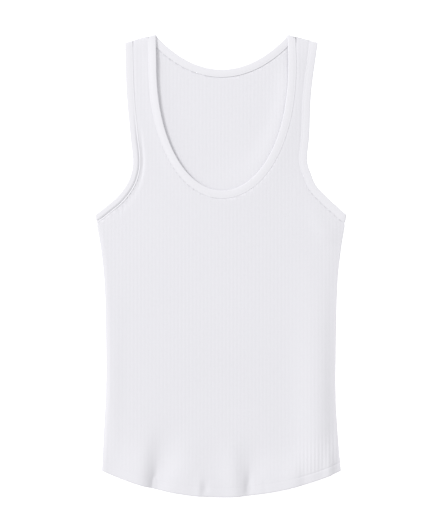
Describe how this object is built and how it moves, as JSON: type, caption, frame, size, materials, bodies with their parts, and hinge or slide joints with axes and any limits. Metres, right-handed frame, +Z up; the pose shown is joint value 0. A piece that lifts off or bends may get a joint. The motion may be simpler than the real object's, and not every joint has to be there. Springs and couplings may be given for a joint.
{
  "type": "tank top",
  "caption": "Sleeveless scoop-neck tank top in fine white rib knit with bound neck and armholes and a curved hem, laid flat with its front up.",
  "frame": {"origin": "on the surface the garment lies on, under the middle of its outline", "axes": "+Z up from the surface through back then front, +Y from the hem to the shoulders, +X across the garment to the right as seen from above"},
  "size_m": [0.3482, 0.6394, 0.0082],
  "materials": {
    "rib_knit": "matte white cotton rib knit with fine upright ribs",
    "binding_knit": "matte white cotton knit strip, smoother than the panels"
  },
  "bodies": {
    "root": {"front_panel": "rib_knit", "back_panel": "rib_knit", "neck_binding": "binding_knit", "armhole_binding_left": "binding_knit", "armhole_binding_right": "binding_knit"}
  },
  "joints": []
}
